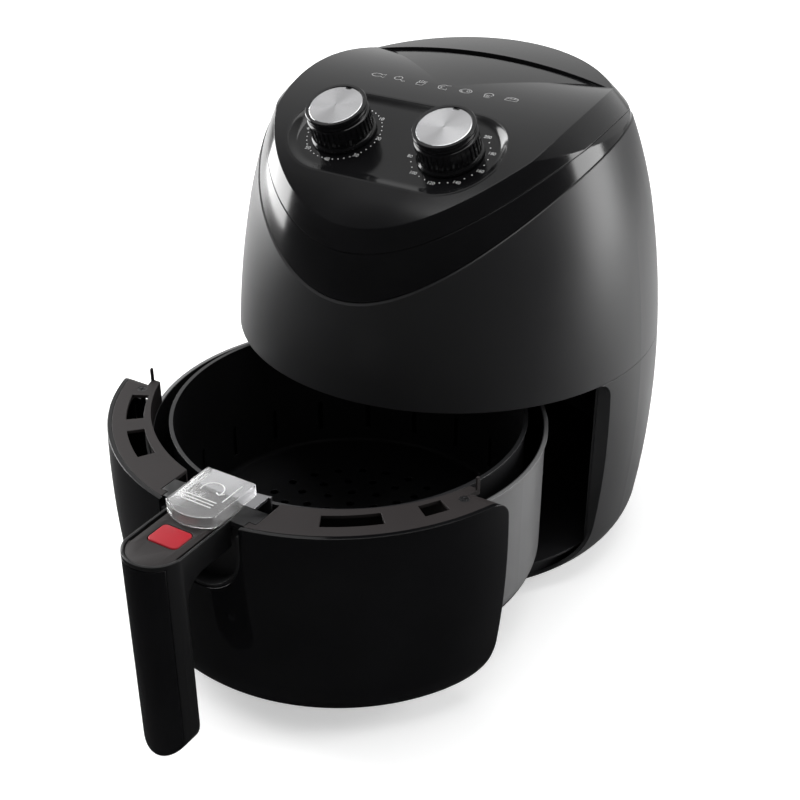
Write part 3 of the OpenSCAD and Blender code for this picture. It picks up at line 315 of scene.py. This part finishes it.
# Timer and thermostat under the dials, and the terminal block: cream phenolic mouldings. Their
# steel shafts stand up through the cover and carry the knobs.
phenolic = moulded("cream phenolic", (0.5, 0.47, 0.39), 0.5)
dress(phenolic, "timer_unit", "thermostat_unit", "terminal_block")
dress(screw_steel, "timer_shaft", "thermostat_shaft")


# Glossy band and glossy top cover: high-gloss plastic from polished moulds, snapped on to the
# satin shell. The band is the lower one, and a narrow step divides the two. A rounded slope
# leads from the cover down to the floor of the dial recess.
gloss_black = moulded("high gloss plastic", (0.006, 0.006, 0.0065), 0.14, 60.0, 0.000004, 0.25, 0.0006, 0.1,
                      specular=0.42)
dress(gloss_black, "cap_band", "top_cover")

DIAL_TILT = math.radians(23.6)
DIAL_MIDDLE = Vector((0.0, -0.0642, 0.2812))
DIAL_PLACE = Matrix.Translation(DIAL_MIDDLE) @ Matrix.Rotation(DIAL_TILT, 4, "X")
KNOB_OFFSET = 0.0356
RECESS_RADIUS = 0.033
CROWN_RADIUS = 0.1884
CROWN_AXIS = Vector((0.0098, 0.3012 - CROWN_RADIUS))


def roof_height(across, along):
    base = DIAL_PLACE @ Vector((across, along, 0.0))
    rise = DIAL_PLACE.to_3x3() @ Vector((0.0, 0.0, 1.0))
    start = Vector((base.y, base.z)) - CROWN_AXIS
    step = Vector((rise.y, rise.z))
    half = start.dot(step)
    return -half + math.sqrt(half * half - start.dot(start) + CROWN_RADIUS ** 2)


def swept(name, rows):
    count, width = len(rows), len(rows[0])
    bpy.ops.object.select_all(action="DESELECT")
    bpy.ops.mesh.primitive_grid_add(x_subdivisions=width - 1, y_subdivisions=count - 1, size=0.01)
    piece = bpy.context.object
    piece.name = name
    for index, point in enumerate(piece.data.vertices):
        point.co = rows[index // width][index % width]
    bpy.ops.object.mode_set(mode="EDIT")
    bpy.ops.mesh.select_all(action="SELECT")
    bpy.ops.mesh.remove_doubles(threshold=0.000001)
    bpy.ops.object.mode_set(mode="OBJECT")
    return piece


def finish_piece(piece, material, body, slot, *stands_for, smooth=32.0):
    bpy.ops.object.select_all(action="DESELECT")
    bpy.context.view_layer.objects.active = piece
    piece.select_set(True)
    bpy.ops.object.shade_smooth_by_angle(angle=math.radians(smooth))
    piece.data.materials.clear()
    piece.data.materials.append(material)
    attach(piece, body)
    if stands_for:
        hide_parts(*stands_for)


def recess_slope():
    steps = 34
    bands = 12
    outline = []
    for side, start in ((1.0, -math.pi / 2), (-1.0, math.pi / 2)):
        for turn in range(steps + 1):
            outline.append((side * KNOB_OFFSET, 0.0, start + math.pi * turn / steps))
    rows = []
    for middle_x, middle_y, angle in outline + outline[:1]:
        out = Vector((math.cos(angle), math.sin(angle)))
        row = []
        for part in range(bands + 1):
            share = part / bands
            reach = RECESS_RADIUS + 0.0016 - 0.0072 * share
            across, along = middle_x + out.x * reach, middle_y + out.y * reach
            fall = share * share * (3.0 - 2.0 * share)
            edge_x = middle_x + out.x * max(reach, RECESS_RADIUS)
            edge_y = middle_y + out.y * max(reach, RECESS_RADIUS)
            high = roof_height(edge_x, edge_y) + 0.00006
            height = high * (1.0 - fall) + 0.00003 * fall
            row.append(DIAL_PLACE @ Vector((across, along, height)))
        rows.append(row)
    piece = swept("dial_recess_slope", rows)
    finish_piece(piece, gloss_black, "housing", "gloss_black", smooth=60.0)


recess_slope()


# Printed scales: white dots with plain numbers on the floor of the recess, minutes round the
# left knob and degrees round the right one, and a row of plain food signs on the cover.
print_white = moulded("white print", (0.72, 0.72, 0.72), 0.5, 900.0, 0.000002, 0.05, 0.0001, 0.0)


def put_together(pieces, name):
    bpy.ops.object.select_all(action="DESELECT")
    for piece in pieces:
        piece.select_set(True)
    bpy.context.view_layer.objects.active = pieces[0]
    bpy.ops.object.join()
    pieces[0].name = name
    return pieces[0]


def on_scale(side, radius, degrees):
    angle = math.radians(90.0 - degrees)
    return (side * KNOB_OFFSET + radius * math.cos(angle), radius * math.sin(angle), 0.00003)


def print_dot(place, radius=0.00042):
    bpy.ops.mesh.primitive_cylinder_add(vertices=12, radius=radius, depth=0.00006)
    dot = bpy.context.object
    dot.data.transform(DIAL_PLACE @ Matrix.Translation(place))
    return dot


def print_number(words, place, height=0.0027):
    bpy.ops.object.text_add()
    number = bpy.context.object
    number.data.body = words
    number.data.size = height * 1.35
    number.data.align_x = "CENTER"
    number.data.align_y = "CENTER"
    number.data.resolution_u = 3
    bpy.ops.object.convert(target="MESH")
    number = bpy.context.object
    number.data.transform(DIAL_PLACE @ Matrix.Translation((place[0], place[1], place[2] + 0.00004)))
    return number


TIMER_TURN = 8.8
scale_marks = []
for step in range(31):
    degrees = step * TIMER_TURN
    if step % 5 == 0 and step:
        scale_marks.append(print_number(str(2 * step), on_scale(-1.0, 0.0230, degrees)))
    else:
        scale_marks.append(print_dot(on_scale(-1.0, 0.0226, degrees)))
finish_piece(put_together(scale_marks, "timer_scale_print"), print_white, "housing", "steel")
HOTTEST = 252.0
HEAT_TURN = 12.0
scale_marks = []
for step in range(19):
    degrees = HOTTEST - step * HEAT_TURN
    if step % 3 == 0:
        scale_marks.append(print_number(str(80 + step // 3 * 20), on_scale(1.0, 0.0236, degrees), 0.0024))
    else:
        scale_marks.append(print_dot(on_scale(1.0, 0.0226, degrees)))
finish_piece(put_together(scale_marks, "temperature_scale_print"), print_white, "housing", "steel")


def arc_points(middle, radius, start, end, count=10, squash=1.0):
    return [(middle[0] + radius * math.cos(math.radians(start + (end - start) * i / count)),
             middle[1] + squash * radius * math.sin(math.radians(start + (end - start) * i / count)))
            for i in range(count + 1)]


def stroke(lines, thick, flat, place, name):
    pieces = []
    for points in lines:
        curve = bpy.data.curves.new(name, "CURVE")
        curve.dimensions = "3D"
        curve.bevel_depth = thick
        curve.bevel_resolution = 1
        curve.use_fill_caps = True
        spline = curve.splines.new("POLY")
        spline.points.add(len(points) - 1)
        for spot, point in zip(spline.points, points):
            spot.co = (point[0] * 0.001, point[1] * 0.001, 0.0, 1.0)
        piece = bpy.data.objects.new(name, curve)
        scene.collection.objects.link(piece)
        bpy.ops.object.select_all(action="DESELECT")
        bpy.context.view_layer.objects.active = piece
        piece.select_set(True)
        bpy.ops.object.convert(target="MESH")
        piece = bpy.context.object
        piece.data.transform(place @ Matrix.Diagonal((1.0, 1.0, flat, 1.0)))
        pieces.append(piece)
    return put_together(pieces, name)


FOOD_SIGNS = {
    "fish": [arc_points((-0.6, 0.0), 2.9, 25, 335, 16, 0.62),
             [(1.9, 0.9), (3.9, 2.0), (3.9, -2.0), (1.9, -0.9)], [(-2.2, 0.5), (-2.0, 0.5)]],
    "drumstick": [arc_points((-1.0, 0.7), 2.2, 0, 360, 16, 0.9), [(0.7, -0.6), (2.9, -2.2)],
                  arc_points((3.3, -2.0), 0.6, 200, 20, 5), [(-2.0, 1.5), (-1.0, 2.0)]],
    "chips": [[(-2.3, 0.2), (-1.7, -2.6), (1.7, -2.6), (2.3, 0.2), (-2.3, 0.2)], [(-1.6, 0.3), (-2.0, 2.5)],
              [(-0.5, 0.3), (-0.6, 3.0)], [(0.6, 0.3), (0.8, 2.7)], [(1.6, 0.3), (2.1, 2.4)]],
    "shrimp": [arc_points((0.0, -0.2), 2.5, 60, 300, 12), arc_points((0.0, -0.2), 1.2, 70, 290, 10),
               [(1.2, -2.4), (2.8, -2.9), (2.6, -1.4)], [(1.2, 1.9), (3.4, 2.6)]],
    "steak": [arc_points((0.0, 0.0), 3.2, 0, 360, 18, 0.68), arc_points((1.3, 0.2), 0.8, 0, 360, 8),
              arc_points((-0.3, -0.3), 2.0, 150, 250, 6, 0.6)],
    "cake": [[(-2.0, 0.0), (-1.4, -2.6), (1.4, -2.6), (2.0, 0.0), (-2.0, 0.0)],
             arc_points((0.0, 0.1), 2.5, 0, 180, 10, 0.9),
             [(-0.5, -0.3), (-0.4, -2.3)], [(0.5, -0.3), (0.4, -2.3)]],
    "bread": [[(-3.2, -1.6), (3.2, -1.6), (3.2, 0.4), (-3.2, 0.4), (-3.2, -1.6)],
              arc_points((0.0, 0.4), 3.2, 0, 180, 10, 0.5),
              [(-1.1, 0.6), (-0.7, 1.6)], [(0.9, 0.6), (1.3, 1.6)]],
}
SIGN_ROW_Y = -0.0112
SIGN_SPACING = 0.0152
SIGN_SCALE = 1.2
sign_slope = math.asin((SIGN_ROW_Y - CROWN_AXIS.x) / CROWN_RADIUS)
sign_z = CROWN_AXIS.y + CROWN_RADIUS * math.cos(sign_slope)
signs = []
for number, sign in enumerate(FOOD_SIGNS):
    place = (Matrix.Translation(((number - 3) * SIGN_SPACING, SIGN_ROW_Y, sign_z + 0.00004))
             @ Matrix.Rotation(-sign_slope, 4, "X") @ Matrix.Diagonal((SIGN_SCALE, SIGN_SCALE, 1.0, 1.0)))
    signs.append(stroke(FOOD_SIGNS[sign], 0.00019, 0.25, place, sign))
sign_print = moulded("grey print", (0.45, 0.45, 0.45), 0.5, 900.0, 0.000002, 0.05, 0.0001, 0.0)
finish_piece(put_together(signs, "food_sign_print"), sign_print, "housing", "steel")


# Timer knob and temperature knob: black plastic with a ribbed barrel, a slim neck and a polished
# rim, pushed on to the switch shafts.
def turned(name, outline, steps):
    bpy.ops.object.select_all(action="DESELECT")
    bpy.ops.mesh.primitive_plane_add(size=0.001, location=(0.0, 0.0, 0.0))
    piece = bpy.context.object
    piece.name = name
    bpy.ops.object.mode_set(mode="EDIT")
    bpy.ops.mesh.select_mode(type="VERT")
    bpy.ops.mesh.select_all(action="SELECT")
    bpy.ops.mesh.merge(type="CENTER")
    bpy.ops.mesh.select_all(action="SELECT")
    bpy.ops.transform.translate(value=(outline[0][0], 0.0, outline[0][1]))
    for start, end in zip(outline, outline[1:]):
        bpy.ops.mesh.extrude_region_move(
            TRANSFORM_OT_translate={"value": (end[0] - start[0], 0.0, end[1] - start[1])})
    bpy.ops.mesh.select_all(action="SELECT")
    bpy.ops.mesh.spin(steps=steps, angle=math.tau, center=(0.0, 0.0, 0.0), axis=(0.0, 0.0, 1.0))
    bpy.ops.mesh.select_all(action="SELECT")
    bpy.ops.mesh.remove_doubles(threshold=0.000004)
    bpy.ops.mesh.normals_make_consistent(inside=False)
    bpy.ops.object.mode_set(mode="OBJECT")
    return piece


def choose_faces(piece, wanted):
    bpy.ops.object.mode_set(mode="EDIT")
    bpy.ops.mesh.select_mode(type="FACE")
    bpy.ops.mesh.select_all(action="DESELECT")
    bpy.ops.object.mode_set(mode="OBJECT")
    for face in piece.data.polygons:
        face.select = wanted(face)
    bpy.ops.object.mode_set(mode="EDIT")


KNOB_OUTLINE = [(0.0031, 0.0025), (0.0178, 0.0025), (0.0178, 0.0006), (0.0191, 0.0006), (0.0195, 0.0010),
                (0.0195, 0.0024), (0.0190, 0.0030), (0.0184, 0.0034), (0.0186, 0.0040), (0.0184, 0.0146),
                (0.0179, 0.0151), (0.0171, 0.0154), (0.0171, 0.0164), (0.0179, 0.0167), (0.0179, 0.0178),
                (0.0174, 0.0181), (0.0174, 0.0189), (0.0182, 0.0193), (0.0182, 0.0205), (0.0178, 0.0210),
                (0.0161, 0.0210), (0.0161, 0.0197), (0.0031, 0.0197), (0.0031, 0.0025)]
knob_black = moulded("knob plastic", (0.006, 0.006, 0.0065), 0.16, 300.0, 0.000006, 0.15, 0.0002)


def make_knob(name, side, body, node):
    piece = turned(name, KNOB_OUTLINE, 144)

    def in_flute(face):
        middle = face.center
        turn = int((math.atan2(middle.y, middle.x) % math.tau) / math.tau * 144.0)
        return 0.0042 < middle.z < 0.0140 and middle.xy.length > 0.018 and turn % 4 < 2

    choose_faces(piece, in_flute)
    bpy.ops.mesh.inset(thickness=0.00012, depth=-0.0007, use_individual=False)
    bpy.ops.object.mode_set(mode="OBJECT")
    piece.data.transform(DIAL_PLACE @ Matrix.Translation((side * KNOB_OFFSET, 0.0, 0.0)))
    finish_piece(piece, knob_black, body, "inner_black", node)


make_knob("timer_knob_ribbed", -1.0, "timer", "timer_knob")
make_knob("temperature_knob_ribbed", 1.0, "thermostat", "temperature_knob")


# Spun aluminium disc in the top of each knob: its face is turned to fine rings that spread the
# light along the radius. A small notch at the edge is the pointer, and the disc is bonded in.
def grooved_metal(name, side):
    material = moulded(name, (0.60, 0.60, 0.61), 0.2, 300.0, 0.000001, 0.04, 0.0002, 0.0, metallic=1.0)
    made, link = material.node_tree.nodes, material.node_tree.links.new
    place = made.new("ShaderNodeTexCoord")
    centre = DIAL_PLACE @ Vector((side * KNOB_OFFSET, 0.0, 0.0))
    shift = made.new("ShaderNodeVectorMath")
    shift.operation = "SUBTRACT"
    shift.inputs[1].default_value = centre
    link(place.outputs["Object"], shift.inputs[0])
    outward = made.new("ShaderNodeVectorTransform")
    outward.vector_type = "VECTOR"
    outward.convert_from = "OBJECT"
    outward.convert_to = "WORLD"
    link(shift.outputs["Vector"], outward.inputs["Vector"])
    shader = made["Principled BSDF"]
    link(outward.outputs["Vector"], shader.inputs["Tangent"])
    shader.inputs["Anisotropic"].default_value = 0.9
    return material


def make_disc(name, side, body, node):
    face = 0.0207
    outline = [(0.0004, face - 0.0001), (0.0004, face)]
    grooves = 34
    pitch = 0.0148 / grooves
    for ring in range(grooves):
        inner = 0.0006 + pitch * ring
        outline.append((inner, face - 0.000008))
        outline.append((inner + pitch / 2.0, face + 0.000004))
    outline += [(0.0156, face), (0.0159, face - 0.0002), (0.0159, face - 0.00095), (0.0004, face - 0.00095),
                (0.0004, face - 0.0001)]
    piece = turned(name, outline, 96)

    def pointer(spot):
        middle = spot.center
        return middle.z > face - 0.0001 and middle.y > 0.0138 and abs(middle.x) < 0.0016

    choose_faces(piece, pointer)
    bpy.ops.mesh.extrude_region_move(TRANSFORM_OT_translate={"value": (0.0, 0.0, -0.0008)})
    bpy.ops.object.mode_set(mode="OBJECT")
    piece.data.transform(DIAL_PLACE @ Matrix.Translation((side * KNOB_OFFSET, 0.0, 0.0)))
    finish_piece(piece, grooved_metal(name + " aluminium", side), body, "spun_aluminium", node, smooth=50.0)


make_disc("timer_disc_spun", -1.0, "timer", "timer_disc")
make_disc("temperature_disc_spun", 1.0, "thermostat", "temperature_disc")


# Pan: a deep-drawn steel pan that slides on the rails. It is coated black on the inside, and
# grey and slightly metallic on the outside.
pan_coating = moulded("pan coating", (0.012, 0.012, 0.013), 0.3, 420.0, 0.00002, 0.12)
made, link = pan_coating.node_tree.nodes, pan_coating.node_tree.links.new
place = made.new("ShaderNodeTexCoord")
shift = made.new("ShaderNodeVectorMath")
shift.operation = "ADD"
PAN_SETBACK = 0.118
PAN_SKIN = 0.1162
shift.inputs[1].default_value = (0.0, PAN_SETBACK, 0.0)
link(place.outputs["Object"], shift.inputs[0])
flat = made.new("ShaderNodeVectorMath")
flat.operation = "MULTIPLY"
flat.inputs[1].default_value = (1.0, 1.0, 0.0)
link(shift.outputs["Vector"], flat.inputs[0])
reach = made.new("ShaderNodeVectorMath")
reach.operation = "LENGTH"
link(flat.outputs["Vector"], reach.inputs[0])
outside = made.new("ShaderNodeMapRange")
outside.inputs["From Min"].default_value = PAN_SKIN
outside.inputs["From Max"].default_value = PAN_SKIN + 0.0003
link(reach.outputs["Value"], outside.inputs["Value"])
two_tone = made.new("ShaderNodeMix")
two_tone.data_type = "RGBA"
two_tone.inputs["B"].default_value = (0.15, 0.15, 0.152, 1.0)
group = next(part for part in made if part.type == "GROUP")
two_tone.inputs["A"].default_value = (0.012, 0.012, 0.013, 1.0)
link(outside.outputs["Result"], two_tone.inputs["Factor"])
link(two_tone.outputs["Result"], group.inputs["Colour"])
dress(pan_coating, "pan")


# Basket: pressed and perforated steel with the same black coating, a rolled rim and a plated
# bracket that is riveted on and screwed into the handle.
basket_coating = moulded("basket coating", (0.014, 0.014, 0.015), 0.32, 420.0, 0.00003, 0.12)
dress(basket_coating, "basket_wall", "basket_base")
plated_steel = moulded("plated bracket steel", (0.30, 0.30, 0.31), 0.36, 400.0, 0.00001, 0.15, 0.0003,
                       metallic=1.0)
dress(plated_steel, "basket_bracket")
dress(screw_steel, "bracket_rivets")


# Drawer front: a high-gloss shell over a matt liner, closed on top by a grained rim plate with
# long slots, held by a screw at each end.
def rounded_copy(node, name, width, segments=2, angle=30.0):
    bpy.ops.object.select_all(action="DESELECT")
    piece = bpy.data.objects.new(name, nodes[node].data.copy())
    scene.collection.objects.link(piece)
    bpy.context.view_layer.objects.active = piece
    piece.select_set(True)
    bpy.ops.object.mode_set(mode="EDIT")
    bpy.ops.mesh.select_all(action="SELECT")
    bpy.ops.mesh.remove_doubles(threshold=0.000002)
    bpy.ops.mesh.dissolve_limited(angle_limit=math.radians(0.6))
    bpy.ops.object.mode_set(mode="OBJECT")
    bevel = piece.modifiers.new("edge round", "BEVEL")
    bevel.width = width
    bevel.segments = segments
    bevel.limit_method = "ANGLE"
    bevel.angle_limit = math.radians(angle)
    bpy.ops.object.modifier_apply(modifier=bevel.name)
    return piece


panel_black = moulded("drawer front gloss", (0.004, 0.004, 0.0045), 0.1, 60.0, 0.000004, 0.25, 0.0008, 0.1,
                      specular=0.36)
dress(panel_black, "front_panel")
liner_black = moulded("liner plastic", (0.014, 0.014, 0.015), 0.42)
dress(liner_black, "panel_liner", "latch_pocket")
rim_grey = moulded("rim plastic", (0.021, 0.018, 0.018), 0.5, 800.0, 0.00003, 0.08, specular=0.2)
dress(rim_grey, "rim_plate")
screw_black = moulded("blackened screw", (0.06, 0.06, 0.062), 0.35, 600.0, 0.00001, 0.1, 0.0002, metallic=1.0)
dress(screw_black, "rim_screws")


# Handle: a two-part grip, satin behind and glossy in front, screwed together from the back,
# with a flat cap let into its arm.
handle_grey = moulded("handle plastic", (0.008, 0.008, 0.0085), 0.3, specular=0.3)
finish_piece(rounded_copy("handle_body", "handle_body_rounded", 0.0006), handle_grey, "basket", "grey_handle",
             "handle_body")
finish_piece(rounded_copy("handle_front", "handle_front_rounded", 0.0009, 3), panel_black, "basket",
             "gloss_black", "handle_front")
finish_piece(rounded_copy("handle_cap", "handle_cap_rounded", 0.0003), rim_grey, "basket", "warm_grey",
             "handle_cap")
dress(screw_steel, "handle_screws", "button_spring")


# Release button and latch: a red button stands in the arm's cap on a spring and works a flat
# steel latch under it.
button_red = moulded("button plastic", (0.38, 0.016, 0.026), 0.4, 700.0, 0.00001, 0.08, specular=0.2)
finish_piece(rounded_copy("release_button", "release_button_rounded", 0.0009, 3), button_red, "button",
             "button_red", "release_button")
dress(screw_steel, "latch_bar")


# Clear guard over the button: a moulded polycarbonate slider with rounded edges. Frosted ribs
# for the thumb and an arrow that shows its way are raised on its top.
guard_clear = bpy.data.materials.new("clear polycarbonate")
guard_clear.use_nodes = True
made, link = guard_clear.node_tree.nodes, guard_clear.node_tree.links.new
shader = made["Principled BSDF"]
shader.inputs["Roughness"].default_value = 0.12
shader.inputs["Transmission Weight"].default_value = 0.9
shader.inputs["IOR"].default_value = 1.45
haze = made.new("ShaderNodeTexNoise")
haze.inputs["Scale"].default_value = 60.0
place = made.new("ShaderNodeTexCoord")
link(place.outputs["Object"], haze.inputs["Vector"])
tint = made.new("ShaderNodeMapRange")
tint.inputs["To Min"].default_value = 0.88
tint.inputs["To Max"].default_value = 0.98
link(haze.outputs["Fac"], tint.inputs["Value"])
link(tint.outputs["Result"], shader.inputs["Base Color"])
guard_shell = rounded_copy("button_guard", "button_guard_rounded", 0.0006, 2)
GUARD_TOP = 0.1487
GUARD_MIDDLE_Y = -0.2510
ribs = [[(-9.5, y), (9.5, y)] for y in (-9.0, -6.6, -4.2)]
ribs += [arc_points((0.0, 4.5), 6.5, 200, -20, 14), [(6.1, 2.3), (3.6, 3.4)], [(6.1, 2.3), (8.2, 4.6)],
         [(-11.5, -2.0), (-11.5, 15.0)], [(11.5, -2.0), (11.5, 15.0)]]
raised = stroke(ribs, 0.00045, 0.7, Matrix.Translation((0.0, GUARD_MIDDLE_Y, GUARD_TOP)), "guard_ribs")
rib_clear = guard_clear.copy()
rib_clear.name = "frosted polycarbonate"
frosted = rib_clear.node_tree.nodes["Principled BSDF"]
frosted.inputs["Transmission Weight"].default_value = 0.3
frosted.inputs["Roughness"].default_value = 0.3
finish_piece(raised, rib_clear, "guard", "clear_guard", smooth=60.0)
finish_piece(guard_shell, guard_clear, "guard", "clear_guard", "button_guard")
